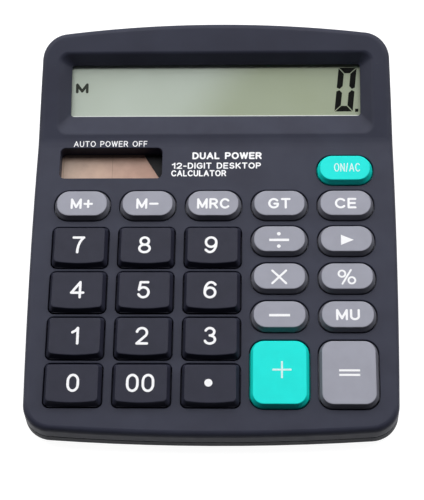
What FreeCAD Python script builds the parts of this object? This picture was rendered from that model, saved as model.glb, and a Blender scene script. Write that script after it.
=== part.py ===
import FreeCAD, Part
import Sketcher
import math
import os

# A twelve-digit desk calculator with a wedge-shaped plastic case, in millimetres.
# +Z is up, +Y points to the rear and +X to the right of a person using it.
# The origin is the middle of the footprint, on the plane that the feet stand on.
#
# Three frames are used. The case frame is the one above. The deck frame lies on the keypad's
# sloping face: x to the right, y up the slope, z out of the face. The display frame does the
# same on the steeper face behind it, and starts at the crease between the two.

SIZES = {
    # the case as a whole
    "body_wide": 118.8, "body_long": 141.0, "side_bow": 1.1, "front_bow": 2.4, "rear_bow": 3.9,
    "corner_radius": 9.0, "wall": 2.0, "floor_high": 1.0, "floor_thick": 2.4, "rim_radius": 1.9,
    "foot_radius": 1.4, "seam_gap": 0.36, "seam_drop": 4.8, "lip_thick": 1.0, "lip_high": 1.4,
    "lip_play": 0.12,
    # the two sloping faces
    "deck_slope": 8.0, "deck_y": -5.55, "deck_z": 18.6, "crease_at": 36.1, "display_slope": 12.0,
    "crease_radius": 16.0,
    # display opening, in the display frame
    "funnel_wide": 105.4, "funnel_long": 28.4, "funnel_mid": 17.4, "funnel_radius": 3.2,
    "funnel_deep": 3.3, "funnel_soft": 1.6, "mouth_margin": 1.2, "window_wide": 97.4,
    "window_long": 18.2, "window_mid": 19.25, "window_radius": 1.1, "bezel_deep": 4.6,
    "lens_margin": 1.6, "lens_thick": 0.8,
    "polariser_thick": 0.2, "glass_thick": 2.0, "holder_thick": 0.8, "layer_gap": 0.05,
    # solar cell opening, in the deck frame
    "solar_x": -34.3, "solar_y": 28.6, "solar_wide": 34.0, "solar_long": 11.2,
    "solar_radius": 1.7, "solar_deep": 5.0, "cell_thick": 0.7,
    # keys
    "column_pitch": 21.5, "upper_pitch": 12.8, "pill_pitch": 13.1, "number_pitch": 15.7,
    "number_first": -2.3, "tall_at": -45.6, "key_gap": 0.4,
    "pill_wide": 16.2, "pill_long": 8.7, "pill_radius": 4.0, "pill_taper": 0.85, "pill_high": 2.0,
    "number_wide": 16.0, "number_long": 12.1, "number_radius": 0.9, "number_taper": 0.95,
    "number_high": 2.4, "number_dish": 0.5, "number_bow": 0.35, "number_corner": 1.2,
    "tall_wide": 16.6, "tall_long": 20.6, "tall_radius": 3.5, "tall_taper": 0.85, "tall_high": 2.0,
    "edge_radius": 0.3, "mouth_radius": 0.25, "skirt_deep": 2.2, "flange_over": 1.0, "flange_thick": 0.8,
    "plunger_radius": 2.0, "plunger_long": 0.7,
    # rubber mat and circuit board, in the deck frame
    "mat_top": -4.8, "mat_thick": 1.0, "dome_radius": 3.6, "dome_bore": 2.6, "dome_high": 0.6,
    "board_wide": 106.0, "board_front": -56.0, "board_rear": 33.0, "board_thick": 1.0,
    "post_radius": 1.4,
    # battery bay and door
    "bay_y": 53.0, "bay_wide": 59.0, "bay_long": 15.4, "bay_top": 18.4, "bay_wall": 1.0,
    "door_wide": 61.0, "door_long": 18.0, "door_thick": 2.0, "door_gap": 0.3, "hinge_radius": 0.6,
    "hinge_reach": 1.3, "hinge_play": 0.07,
    "battery_radius": 7.2, "battery_long": 49.2, "nub_radius": 2.7, "nub_long": 1.3,
    "leaf_wide": 8.0, "leaf_high": 11.0, "leaf_thick": 0.5, "leaf_reach": 7.0, "wire_radius": 0.6,
    # screws and feet
    "boss_radius": 2.3, "front_boss_x": 50.0, "front_boss_y": -64.2, "rear_boss_x": 53.8,
    "rear_boss_y": 58.0, "screw_radius": 1.1, "screw_head": 2.1, "screw_head_high": 1.2,
    "pad_radius": 4.5, "pad_sunk": 0.7, "front_pad_y": -55.0, "rear_pad_y": 42.0, "pad_x": 47.0,
}

# key name: column from -2 to 2, and the row's place in its own block
PILL_KEYS = {
    "on_ac": (2, 2), "m_plus": (-2, 1), "m_minus": (-1, 1), "mrc": (0, 1), "gt": (1, 1), "ce": (2, 1),
    "divide": (1, 0), "correct": (2, 0), "times": (1, -1), "percent": (2, -1), "minus": (1, -2),
    "mu": (2, -2),
}
NUMBER_KEYS = {
    "seven": (-2, 0), "eight": (-1, 0), "nine": (0, 0), "four": (-2, 1), "five": (-1, 1), "six": (0, 1),
    "one": (-2, 2), "two": (-1, 2), "three": (0, 2), "zero": (-2, 3), "double_zero": (-1, 3),
    "point": (0, 3),
}
TALL_KEYS = {"plus": (1, 0), "equals": (2, 0)}

# where the board's screws go through the mat, between the keys, in the deck frame
POST_SPOTS = [("-32.25", "6.15"), ("-32.25", "-26"), ("-8", "27"), ("32.25", "19.2"),
              ("32.25", "-6.55"), ("32.25", "-32.9")]

V = FreeCAD.Vector
TURN_X = V(1, 0, 0)

FRONT_BOSSES = [("-front_boss_x", "front_boss_y"), ("front_boss_x", "front_boss_y")]
REAR_BOSSES = [("-rear_boss_x", "rear_boss_y"), ("rear_boss_x", "rear_boss_y")]
BOSSES = FRONT_BOSSES + REAR_BOSSES

doc = FreeCAD.newDocument("desk_calculator")
sheet = doc.addObject("Spreadsheet::Sheet", "Sizes")
kept = {}


def fill_sheet():
    for row, (name, value) in enumerate(SIZES.items(), start=1):
        sheet.set(f"A{row}", name)
        sheet.set(f"B{row}", str(value))
        sheet.setAlias(f"B{row}", name)
    doc.recompute()


def size(text):
    """the value of an expression in the sheet's words"""
    value = sheet.evalExpression(in_sheet(text))
    return float(getattr(value, "Value", value))


def in_sheet(text):
    """the same expression with each of the sheet's words led by the sheet's name"""
    words = "".join(c if c.isalnum() or c == "_" else " " for c in str(text)).split()
    result = str(text)
    for word in sorted(set(words) & set(SIZES), key=len, reverse=True):
        pieces = []
        start = 0
        while True:
            at = result.find(word, start)
            if at < 0:
                break
            before = result[at - 1] if at else " "
            after = result[at + len(word)] if at + len(word) < len(result) else " "
            whole = not (before.isalnum() or before in "_.") and not (after.isalnum() or after == "_")
            pieces.append(result[start:at] + ("Sizes." if whole else "") + word)
            start = at + len(word)
        result = "".join(pieces) + result[start:]
    return result


def bind(thing, **expressions):
    for name, text in expressions.items():
        thing.setExpression(name, in_sheet(text))
    return thing


def frame_at(x, y, z, turn=0.0):
    return FreeCAD.Placement(V(x, y, z), FreeCAD.Rotation(TURN_X, turn))


def keep(name, thing):
    """names a finished sub-part, so that it is written out"""
    thing.Label = name
    kept[name] = thing
    return thing


# ---------------------------------------------------------------- sketches and features

def new_body(name, place=None):
    body = doc.addObject("PartDesign::Body", name)
    if place is not None:
        body.Placement = place
    return body


def new_sketch(body, name, plane="XY_Plane", lift="0"):
    """a sketch on one of the body's own origin planes, lifted off it by an expression"""
    sketch = body.newObject("Sketcher::SketchObject", name)
    support = [f for f in body.Origin.OriginFeatures if f.Role == plane][0]
    sketch.AttachmentSupport = [(support, "")]
    sketch.MapMode = "FlatFace"
    sketch.setExpression(".AttachmentOffset.Base.z", in_sheet(lift))
    return sketch


def hold(sketch, kind, places, text):
    """one dimension of a sketch, bound to the sheet"""
    number = sketch.addConstraint(Sketcher.Constraint(kind, *places, size(text)))
    sketch.setExpression(f"Constraints[{number}]", in_sheet(text))


def outline(sketch, points, bows=None):
    """closed outline, anticlockwise; bows gives an edge's number the height of its outward arc"""
    bows = bows or {}
    spots = [V(size(x), size(y), 0) for x, y in points]
    first = sketch.GeometryCount
    count = len(points)
    for i in range(count):
        a, b = spots[i], spots[(i + 1) % count]
        if i in bows:
            along = (b - a).normalize()
            middle = (a + b) * 0.5 + V(along.y, -along.x, 0) * size(bows[i])
            sketch.addGeometry(Part.Arc(a, middle, b), False)
        else:
            sketch.addGeometry(Part.LineSegment(a, b), False)
    for i in range(count):
        j = (i + 1) % count
        sketch.addConstraint(Sketcher.Constraint("Coincident", first + i, 2, first + j, 1))
        hold(sketch, "DistanceX", (-1, 1, first + i, 1), points[i][0])
        hold(sketch, "DistanceY", (-1, 1, first + i, 1), points[i][1])
        if i in bows:
            (x1, y1), (x2, y2) = points[i], points[j]
            chord = f"((({x2})-({x1}))^2+(({y2})-({y1}))^2)"
            hold(sketch, "Radius", (first + i,), f"{chord}/(8*({bows[i]}))+({bows[i]})/2")


def rounded(sketch, wide, long, radius, x="0", y="0"):
    """rounded rectangle of the given width, length and corner radius about (x, y)"""
    w, l, r, cx, cy = (size(t) for t in (wide, long, radius, x, y))
    first = sketch.GeometryCount
    sides = [((-w / 2 + r, -l / 2), (w / 2 - r, -l / 2)), ((w / 2, -l / 2 + r), (w / 2, l / 2 - r)),
             ((w / 2 - r, l / 2), (-w / 2 + r, l / 2)), ((-w / 2, l / 2 - r), (-w / 2, -l / 2 + r))]
    for i, (a, b) in enumerate(sides):
        centre = V(cx + (w / 2 - r) * (1, 1, -1, -1)[i], cy + (l / 2 - r) * (-1, 1, 1, -1)[i], 0)
        sketch.addGeometry(Part.LineSegment(V(cx + a[0], cy + a[1], 0), V(cx + b[0], cy + b[1], 0)), False)
        start = (i - 1) * math.pi / 2
        circle = Part.Circle(centre, V(0, 0, 1), r)
        sketch.addGeometry(Part.ArcOfCircle(circle, start, start + math.pi / 2), False)
    for i in range(8):
        sketch.addConstraint(Sketcher.Constraint("Tangent", first + i, 2, first + (i + 1) % 8, 1))
    for i in (0, 4):
        sketch.addConstraint(Sketcher.Constraint("Horizontal", first + i))
        sketch.addConstraint(Sketcher.Constraint("Vertical", first + i + 2))
    for i in (3, 5, 7):
        sketch.addConstraint(Sketcher.Constraint("Equal", first + 1, first + i))
    hold(sketch, "Radius", (first + 1,), radius)
    hold(sketch, "DistanceX", (-1, 1, first, 1), f"({x})-({wide})/2+({radius})")
    hold(sketch, "DistanceX", (-1, 1, first, 2), f"({x})+({wide})/2-({radius})")
    hold(sketch, "DistanceY", (-1, 1, first + 2, 1), f"({y})-({long})/2+({radius})")
    hold(sketch, "DistanceY", (-1, 1, first + 2, 2), f"({y})+({long})/2-({radius})")


def disc(sketch, radius, x="0", y="0"):
    number = sketch.addGeometry(Part.Circle(V(size(x), size(y), 0), V(0, 0, 1), size(radius)), False)
    hold(sketch, "Radius", (number,), radius)
    hold(sketch, "DistanceX", (-1, 1, number, 3), x)
    hold(sketch, "DistanceY", (-1, 1, number, 3), y)


def pad(body, sketch, length, taper=None, down=False):
    feature = body.newObject("PartDesign::Pad", sketch.Name + "_pad")
    feature.Profile = sketch
    feature.Reversed = down
    bind(feature, Length=length)
    if taper is not None:
        bind(feature, TaperAngle=taper)
    sketch.Visibility = False
    doc.recompute()
    return feature


def cut_through(body, sketch):
    """removes the sketch's outline all the way through, both ways"""
    before = body.Shape.Volume
    feature = body.newObject("PartDesign::Pocket", sketch.Name + "_cut")
    feature.Profile = sketch
    feature.Type = "ThroughAll"
    feature.SideType = "Symmetric"
    doc.recompute()
    if body.Shape.Volume > before - 1e-6:
        raise RuntimeError(f"{feature.Name} removes nothing")
    return feature


def edges_where(shape, test):
    return [f"Edge{i}" for i, edge in enumerate(shape.Edges, start=1) if test(edge)]


def round_edges(body, test, radius):
    base = body.Tip
    names = edges_where(base.Shape, test)
    feature = body.newObject("PartDesign::Fillet", base.Name + "_round")
    feature.Base = (base, names)
    bind(feature, Radius=radius)
    doc.recompute()
    return feature


def is_upright(edge):
    box = edge.BoundBox
    return box.XLength < 1e-4 and box.YLength < 1e-4


def slab(name, place, wide, long, thick, x="0", y="0", z="0", radius=None, taper=None, down=False):
    """a flat block about (x, y) in a frame, with rounded corners if it has a radius"""
    body = new_body(name, place)
    sketch = new_sketch(body, name + "_outline", lift=z)
    if radius is None:
        left, right = f"({x})-({wide})/2", f"({x})+({wide})/2"
        front, rear = f"({y})-({long})/2", f"({y})+({long})/2"
        outline(sketch, [(left, front), (right, front), (right, rear), (left, rear)])
    else:
        rounded(sketch, wide, long, radius, x, y)
    pad(body, sketch, thick, taper, down)
    return body


def rods(name, place, spots, radius, long, z="0"):
    """upright cylinders at several places, fused or grouped as one tool"""
    made = []
    for i, (x, y) in enumerate(spots):
        rod = doc.addObject("Part::Cylinder", f"{name}_{i}")
        bind(rod, Radius=radius, Height=long)
        rod.Placement = place * frame_at(size(x), size(y), size(z))
        made.append(rod)
    return made


def block(name, place, wide, long, thick, x, y, z):
    """a plain box whose lowest corner is at (x, y, z) of a frame"""
    box = doc.addObject("Part::Box", name)
    bind(box, Length=wide, Width=long, Height=thick)
    box.Placement = place * frame_at(size(x), size(y), size(z))
    return box


def fuse(name, things):
    joined = doc.addObject("Part::MultiFuse", name)
    joined.Shapes = things
    return joined


def cut(name, base, things):
    tool = things[0] if len(things) == 1 else fuse(name + "_tools", things)
    result = doc.addObject("Part::Cut", name)
    result.Base = base
    result.Tool = tool
    doc.recompute()
    return result


def group(name, things):
    """separate identical solids that share one node"""
    together = doc.addObject("Part::Compound", name)
    together.Links = things
    return together


# ---------------------------------------------------------------- frames

fill_sheet()
CASE = frame_at(0, 0, 0)
DECK = frame_at(0, size("deck_y"), size("deck_z"), size("deck_slope"))
DISPLAY = DECK * frame_at(0, size("crease_at"), 0, size("display_slope"))


def deck_line(y, drop="0"):
    """height of the deck at a distance y from the case's middle, less a drop square to it"""
    return f"deck_z+(({y})-deck_y)*tan(deck_slope)-({drop})/cos(deck_slope)"


CREASE_Y = "deck_y+crease_at*cos(deck_slope)"
CREASE_Z = "deck_z+crease_at*sin(deck_slope)"
REAR_SLOPE = "(deck_slope+display_slope)"


def display_line(y, drop="0"):
    return f"{CREASE_Z}+(({y})-({CREASE_Y}))*tan({REAR_SLOPE})-({drop})/cos({REAR_SLOPE})"


# ---------------------------------------------------------------- case shells

def case_block(name, inset, drop):
    """the case's plan with bowed sides, cut to the two sloping faces; both can be drawn inwards"""
    body = new_body(name)
    plan = new_sketch(body, name + "_plan")
    half = f"(body_wide/2-side_bow-({inset}))"
    front = f"-(body_long/2-front_bow-({inset}))"
    rear = f"(body_long/2-rear_bow-({inset}))"
    outline(plan, [(f"-{half}", front), (half, front), (half, rear), (f"-{half}", rear)],
            {0: "front_bow", 1: "side_bow", 2: "rear_bow", 3: "side_bow"})
    pad(body, plan, "50")
    round_edges(body, is_upright, f"corner_radius-({inset})")
    top = new_sketch(body, name + "_top", "YZ_Plane")
    reach = "crease_radius*tan(display_slope/2)"
    near_y, near_z = f"{CREASE_Y}-{reach}*cos(deck_slope)", f"{CREASE_Z}-{reach}*sin(deck_slope)"
    far_y, far_z = f"{CREASE_Y}+{reach}*cos({REAR_SLOPE})", f"{CREASE_Z}+{reach}*sin({REAR_SLOPE})"
    down_near = (f"{near_y}+({drop})*sin(deck_slope)", f"{near_z}-({drop})*cos(deck_slope)")
    down_far = (f"{far_y}+({drop})*sin({REAR_SLOPE})", f"{far_z}-({drop})*cos({REAR_SLOPE})")
    rise = f"(crease_radius+({drop}))*(1-cos(display_slope/2))"
    outline(top, [("-90", deck_line("-90", drop)), down_near, down_far, ("90", display_line("90", drop)),
                  ("90", "90"), ("-90", "90")], {1: rise})
    cut_through(body, top)
    return body


def below_seam(body, name, drop):
    """removes what is under the plane along which the two shells meet"""
    sketch = new_sketch(body, name, "YZ_Plane")
    outline(sketch, [("-90", "-40"), ("90", "-40"), ("90", deck_line("90", drop)),
                     ("-90", deck_line("-90", drop))])
    cut_through(body, sketch)


def above_seam(body, name, drop):
    sketch = new_sketch(body, name, "YZ_Plane")
    outline(sketch, [("-90", deck_line("-90", drop)), ("90", deck_line("90", drop)), ("90", "90"),
                     ("-90", "90")])
    cut_through(body, sketch)


def on_top_rim(edge):
    """true for the edges between the case's sides and its sloping top"""
    middle = edge.valueAt((edge.FirstParameter + edge.LastParameter) / 2)
    half_wide, half_long = size("body_wide/2-4"), size("body_long/2-7")
    outer = abs(middle.x) > half_wide or abs(middle.y) > half_long
    crease = edge.BoundBox.XLength > size("body_wide-4") and abs(middle.y) < half_long
    high = middle.z > size(deck_line(str(middle.y), "1"))
    return outer and high and not crease and not is_upright(edge)


def key_places():
    """each key's kind and centre in the deck frame, as expressions"""
    places = {}
    for name, (column, row) in PILL_KEYS.items():
        pitch = "upper_pitch" if row > 0 else "pill_pitch"
        places[name] = ("pill", f"{column}*column_pitch", f"{row}*{pitch}")
    for name, (column, row) in NUMBER_KEYS.items():
        places[name] = ("number", f"{column}*column_pitch", f"number_first-{row}*number_pitch")
    for name, (column, row) in TALL_KEYS.items():
        places[name] = ("tall", f"{column}*column_pitch", "tall_at")
    return places


def make_upper_case():
    shell = case_block("upper_outside", "0", "0")
    below_seam(shell, "upper_seam", "seam_drop-seam_gap/2")
    round_edges(shell, on_top_rim, "rim_radius")
    hollow = case_block("upper_inside", "wall", "wall")
    walls = cut("upper_walls", shell, [hollow])

    surround = slab("bezel_block", DISPLAY, "funnel_wide+3", "funnel_long+4", "bezel_deep-0.6",
                    y="funnel_mid+0.2", z="-bezel_deep", radius="funnel_radius")
    well = slab("solar_well", DECK, "solar_wide+2.6", "solar_long+2.6", "solar_deep-0.6",
                x="solar_x", y="solar_y", z="-solar_deep", radius="solar_radius+1.2")
    posts = rods("board_post", DECK, POST_SPOTS, "post_radius",
                 "mat_thick-mat_top-0.5", "mat_top-mat_thick")
    front_bosses = rods("front_boss", CASE, FRONT_BOSSES, "boss_radius", "3.9", "5.0")
    rear_bosses = rods("rear_boss", CASE, REAR_BOSSES, "boss_radius", "13", "20")
    solid = fuse("upper_solid", [walls, surround, well] + posts + front_bosses + rear_bosses)

    tools = [funnel_tool(), window_tool(), lens_pocket(), solar_tool()]
    tools += rods("post_pilot", DECK, POST_SPOTS, "0.6", "3.6", "mat_top-mat_thick-1")
    tools += rods("front_pilot", CASE, FRONT_BOSSES, "screw_radius-0.1", "3.4", "4")
    tools += rods("rear_pilot", CASE, REAR_BOSSES, "screw_radius-0.1", "9", "19")
    tools += [key_hole(name, *place) for name, place in key_places().items()]
    sharp = cut("upper_sharp", solid, tools)
    return keep("upper_case", soften("upper_case", sharp, on_hole_mouth, "mouth_radius"))


def soften(name, base, test, radius):
    """rounds the chosen edges of a shape made by booleans"""
    rounded_shape = doc.addObject("Part::Fillet", name)
    rounded_shape.Base = base
    chosen = [i for i, edge in enumerate(base.Shape.Edges, start=1) if test(edge)]
    rounded_shape.Edges = [(i, size(radius), size(radius)) for i in chosen]
    doc.recompute()
    return rounded_shape


def on_hole_mouth(edge):
    """true for the edges where the key holes and the solar cell's opening meet the deck"""
    to_deck = DECK.inverse()
    start, end = edge.FirstParameter, edge.LastParameter
    spots = [to_deck.multVec(edge.valueAt(start + (end - start) * t)) for t in (0, 0.3, 0.7, 1)]
    reach_x, front, rear = size("body_wide/2-4"), size("board_front"), size("crease_at-1.5")
    return all(abs(p.z) < 1e-3 and abs(p.x) < reach_x and front < p.y < rear for p in spots)


def funnel_tool():
    """the sloping walls that lead down to the display, with a softly rounded mouth"""
    body = new_body("funnel", DISPLAY)
    rings = []
    for name, height in (("funnel", "0"), ("window", "-funnel_deep")):
        sketch = new_sketch(body, name + "_ring", lift=height)
        rounded(sketch, name + "_wide", name + "_long", name + "_radius", "0", name + "_mid")
        rings.append(sketch)
    loft = body.newObject("PartDesign::AdditiveLoft", "funnel_loft")
    loft.Profile = rings[0]
    loft.Sections = [rings[1]]
    loft.Ruled = True
    doc.recompute()
    mouth = new_sketch(body, "funnel_mouth")
    rounded(mouth, "funnel_wide+2*mouth_margin", "funnel_long+2*mouth_margin", "funnel_radius+mouth_margin",
            "0", "funnel_mid")
    pad(body, mouth, "6")
    round_edges(body, on_funnel_mouth, "funnel_soft")
    return body


def on_funnel_mouth(edge):
    """true for the edges where the funnel's walls meet the display face, in the funnel's own frame"""
    box, mid, slack = edge.BoundBox, size("funnel_mid"), 0.01
    flat = abs(box.ZMin) < 1e-4 and abs(box.ZMax) < 1e-4
    inside_x = max(-box.XMin, box.XMax) < size("funnel_wide/2") + slack
    inside_y = max(mid - box.YMin, box.YMax - mid) < size("funnel_long/2") + slack
    return flat and inside_x and inside_y


def window_tool():
    return slab("window_cut", DISPLAY, "window_wide", "window_long", "4", y="window_mid",
                z="-funnel_deep-3", radius="window_radius")


def lens_pocket():
    wide, long = "window_wide+2*lens_margin+0.2", "window_long+2*lens_margin+0.2"
    return slab("lens_pocket", DISPLAY, wide, long, "3", y="window_mid",
                z="-bezel_deep-3+lens_thick+layer_gap")


def solar_tool():
    return slab("solar_cut", DECK, "solar_wide", "solar_long", "solar_deep+3", x="solar_x", y="solar_y",
                z="-solar_deep-2", radius="solar_radius")


def key_hole(name, kind, x, y):
    over = f"2*({kind}_taper+key_gap)"
    return slab("hole_" + name, DECK, f"{kind}_wide+{over}", f"{kind}_long+{over}", "8", x=x, y=y, z="-4",
                radius=f"{kind}_radius+{kind}_taper+key_gap*0.6")


def make_lower_case():
    shell = new_body("lower_outside")
    plan = new_sketch(shell, "lower_plan", lift="floor_high")
    half = "(body_wide/2-side_bow)"
    front, rear = "-(body_long/2-front_bow)", "(body_long/2-rear_bow)"
    outline(plan, [(f"-{half}", front), (half, front), (half, rear), (f"-{half}", rear)],
            {0: "front_bow", 1: "side_bow", 2: "rear_bow", 3: "side_bow"})
    pad(shell, plan, "40")
    round_edges(shell, is_upright, "corner_radius")
    above_seam(shell, "lower_seam", "seam_drop+seam_gap/2")
    low = size("floor_high")
    round_edges(shell, lambda e: max(abs(e.BoundBox.ZMin - low), abs(e.BoundBox.ZMax - low)) < 1e-4,
                "foot_radius")
    hollow = case_block("lower_inside", "wall", "0")
    room = block("lower_room", CASE, "200", "200", "60", "-100", "-100", "floor_high+floor_thick")
    inside = doc.addObject("Part::Common", "lower_hollow")
    inside.Base = hollow
    inside.Tool = room
    walls = cut("lower_walls", shell, [inside])

    parts = [walls, seam_lip(), bay_walls()]
    parts += rods("front_post", CASE, FRONT_BOSSES, "boss_radius", "2.8", "floor_high+1")
    parts += rods("rear_post", CASE, REAR_BOSSES, "boss_radius+0.6", "18.6", "floor_high+0.2")
    solid = fuse("lower_solid", parts)

    tools = [bay_space(), door_space()]
    tools += rods("front_shank", CASE, FRONT_BOSSES, "screw_radius+0.2", "8", "0")
    tools += rods("front_sink", CASE, FRONT_BOSSES, "screw_head+0.3", "2.6", "0")
    tools += rods("rear_shank", CASE, REAR_BOSSES, "screw_radius+0.2", "24", "0")
    tools += rods("rear_sink", CASE, REAR_BOSSES, "screw_head+0.3", "12", "0")
    tools += rods("pad_seat", CASE, pad_spots(), "pad_radius+0.1", "floor_high+pad_sunk", "0")
    tools += [hinge_socket(side) for side in (-1, 1)] + [finger_scoop()] + vent_slots()
    return keep("lower_case", cut("lower_case", solid, tools))


def seam_ring(name, inset, top, foot):
    """a ring along the case's walls, between two drops below the deck"""
    outside = case_block(name + "_outside", inset, "0")
    above_seam(outside, name + "_top", top)
    below_seam(outside, name + "_foot", foot)
    return cut(name, outside, [case_block(name + "_inside", "wall+lip_thick", "-5")])


def seam_lip():
    """thin upright lip inside the seam, which closes the joint between the shells"""
    root = seam_ring("lip_root", "wall-0.3", "seam_drop+seam_gap/2", "seam_drop+2")
    tongue = seam_ring("lip_tongue", "wall+lip_play", "seam_drop-lip_high", "seam_drop+1")
    trim = block("lip_trim", CASE, "200", "200", "60", "-100", "-100", "floor_high+1")
    lip = doc.addObject("Part::Common", "seam_lip")
    lip.Base = fuse("lip_rings", [root, tongue])
    lip.Tool = trim
    return cut("seam_lip_notched", lip, rods("lip_room", CASE, BOSSES, "boss_radius+0.4", "40", "0"))


def bay_walls():
    wide, long, high = "bay_wide+2*bay_wall", "bay_long+2*bay_wall", "bay_top+bay_wall-floor_high-1"
    return block("bay_walls", CASE, wide, long, high, "-bay_wide/2-bay_wall",
                 "bay_y-bay_long/2-bay_wall", "floor_high+1")


def bay_space():
    return block("bay_space", CASE, "bay_wide", "bay_long", "bay_top", "-bay_wide/2",
                 "bay_y-bay_long/2", "0")


def door_space():
    return block("door_space", CASE, "door_wide+2*door_gap", "door_long+2*door_gap", "door_thick+1.2",
                 "-door_wide/2-door_gap", "bay_y-door_long/2-door_gap", "0")


HINGE_Y = "bay_y+door_long/2-door_thick/2"
HINGE_Z = "floor_high+door_thick/2"


def across(name, radius, long, x, y, z):
    """a cylinder along x, starting at (x, y, z)"""
    rod = doc.addObject("Part::Cylinder", name)
    bind(rod, Radius=radius, Height=long)
    rod.Placement = FreeCAD.Placement(V(size(x), size(y), size(z)), FreeCAD.Rotation(V(0, 1, 0), 90))
    return rod


def hinge_socket(side):
    start = "door_wide/2" if side > 0 else "-door_wide/2-hinge_reach-0.2"
    return across(f"hinge_socket_{'right' if side > 0 else 'left'}", "hinge_radius+hinge_play",
                  "hinge_reach+0.2", start, HINGE_Y, HINGE_Z)


def finger_scoop():
    """shallow round hollow in front of the door, for a fingertip"""
    scoop = doc.addObject("Part::Sphere", "finger_scoop")
    bind(scoop, Radius="9")
    scoop.Placement = frame_at(0, size("bay_y-door_long/2-1.0"), size("floor_high-7.8"))
    return scoop


def vent_slots():
    """two rows of narrow slots in the floor"""
    slots = []
    for i in range(-4, 5):
        slot = slab(f"vent_{i + 4}", CASE, "1.6", "14", "6", x=str(5 * i), y="-20", z="-1", radius="0.79")
        slots.append(slot)
    return slots


def pad_spots():
    return [(f"{side}*pad_x", y) for y in ("front_pad_y", "rear_pad_y") for side in (-1, 1)]


def make_feet():
    feet = []
    for i, (x, y) in enumerate(pad_spots()):
        foot = slab_disc(f"foot_{i}", CASE, "pad_radius", "floor_high+pad_sunk-0.05", x, y, "0")
        round_edges(foot, lambda e: abs(e.BoundBox.ZMax) < 1e-4, "0.4")
        feet.append(foot)
    return keep("rubber_feet", group("rubber_feet", feet))


def slab_disc(name, place, radius, thick, x="0", y="0", z="0"):
    body = new_body(name, place)
    sketch = new_sketch(body, name + "_circle", lift=z)
    disc(sketch, radius, x, y)
    pad(body, sketch, thick)
    return body


# ---------------------------------------------------------------- keys

def make_key(name, kind, x, y):
    """tapered cap, a skirt through the case, side ears that hold it in and a plunger"""
    body = new_body("key_" + name, DECK * frame_at(size(x), size(y), 0))
    wide, long, high = f"{kind}_wide", f"{kind}_long", f"{kind}_high"
    foot = f"2*{kind}_taper"
    cap = new_sketch(body, name + "_cap")
    if kind == "number":
        half_x, half_y = "(number_wide/2+number_taper)", "(number_long/2+number_taper)"
        near = f"-{half_y}+number_bow"
        outline(cap, [(f"-{half_x}", near), (half_x, near), (half_x, half_y), (f"-{half_x}", half_y)],
                {0: "number_bow"})
    else:
        rounded(cap, f"{wide}+{foot}", f"{long}+{foot}", f"{kind}_radius+{kind}_taper")
    pad(body, cap, high, f"-atan({kind}_taper/{high})")
    if kind == "number":
        round_edges(body, lambda e: e.BoundBox.ZLength > size("number_high-0.1"), "number_corner")
        dish_top(body, name)
    round_edges(body, lambda e: e.BoundBox.ZMin > size(f"{high}-0.6"), "edge_radius")
    skirt = new_sketch(body, name + "_skirt")
    rounded(skirt, f"{wide}+{foot}", f"{long}+{foot}", f"{kind}_radius+{kind}_taper")
    pad(body, skirt, "skirt_deep+flange_thick", down=True)
    ears = new_sketch(body, name + "_ears", lift="-skirt_deep-flange_thick")
    ear_wide = f"{wide}+{foot}+2*key_gap+2*flange_over"
    rounded(ears, ear_wide, f"{long}*0.75", "0.8")
    pad(body, ears, "flange_thick")
    plunger = new_sketch(body, name + "_plunger", lift="-skirt_deep-flange_thick")
    disc(plunger, "plunger_radius")
    pad(body, plunger, "plunger_long", down=True)
    return keep("key_" + name, body)


def dish_top(body, name):
    """hollows the cap's top across its width"""
    sketch = new_sketch(body, name + "_dish", "XZ_Plane")
    half = "number_wide/2"
    outline(sketch, [(f"-{half}", "number_high"), (half, "number_high")], {0: "number_dish"})
    cut_through(body, sketch)


def make_keys():
    for name, place in key_places().items():
        make_key(name, *place)


# ---------------------------------------------------------------- display stack

def display_layer(name, wide, long, thick, top, mid="window_mid"):
    return keep(name, slab(name + "_body", DISPLAY, wide, long, thick, y=mid, z=top, down=True))


def make_display():
    lens_top = "-bezel_deep+lens_thick"
    panel_wide, panel_long = "window_wide+3.2", "window_long+3.4"
    display_layer("display_lens", "window_wide+2*lens_margin", "window_long+2*lens_margin", "lens_thick",
                  lens_top)
    top = "-bezel_deep-layer_gap"
    display_layer("lcd_front_film", panel_wide + "-1", panel_long + "-1", "polariser_thick", top)
    top += "-polariser_thick-layer_gap"
    display_layer("lcd_glass", panel_wide, panel_long, "glass_thick", top)
    top += "-glass_thick-layer_gap"
    display_layer("lcd_reflector", panel_wide + "-1", panel_long + "-4", "polariser_thick", top,
                  "window_mid+1.5")
    top += "-polariser_thick-layer_gap"
    display_layer("lcd_holder", panel_wide, panel_long + "-2.6", "holder_thick", top, "window_mid+1.3")
    make_ribbon()


def make_ribbon():
    """flat connector strip from the board's rear edge to the glass's front edge"""
    glass_under = "(-bezel_deep-3*layer_gap-polariser_thick-glass_thick)"
    start, bend = "window_mid-window_long/2-1.4", "window_mid-window_long/2-4.6"

    def on_display(along, out):
        return (f"{CREASE_Y}+({along})*cos({REAR_SLOPE})-({out})*sin({REAR_SLOPE})",
                f"{CREASE_Z}+({along})*sin({REAR_SLOPE})+({out})*cos({REAR_SLOPE})")

    def on_deck(along, out):
        return (f"deck_y+({along})*cos(deck_slope)-({out})*sin(deck_slope)",
                f"deck_z+({along})*sin(deck_slope)+({out})*cos(deck_slope)")

    board_top = "mat_top-mat_thick+0.02"
    path = [on_deck("board_rear-2", board_top), on_deck("board_rear+1.5", board_top),
            on_display(bend, f"{glass_under}-0.13"), on_display(start, f"{glass_under}-0.13")]
    back = [on_display(start, glass_under), on_display(bend, glass_under),
            on_deck("board_rear+1.5", f"{board_top}+0.13"), on_deck("board_rear-2", f"{board_top}+0.13")]
    body = new_body("ribbon")
    sketch = new_sketch(body, "ribbon_side", "YZ_Plane", lift="-14")
    outline(sketch, path + back)
    pad(body, sketch, "54")
    keep("lcd_ribbon", body)


# ---------------------------------------------------------------- mat, board and what is on it

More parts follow.
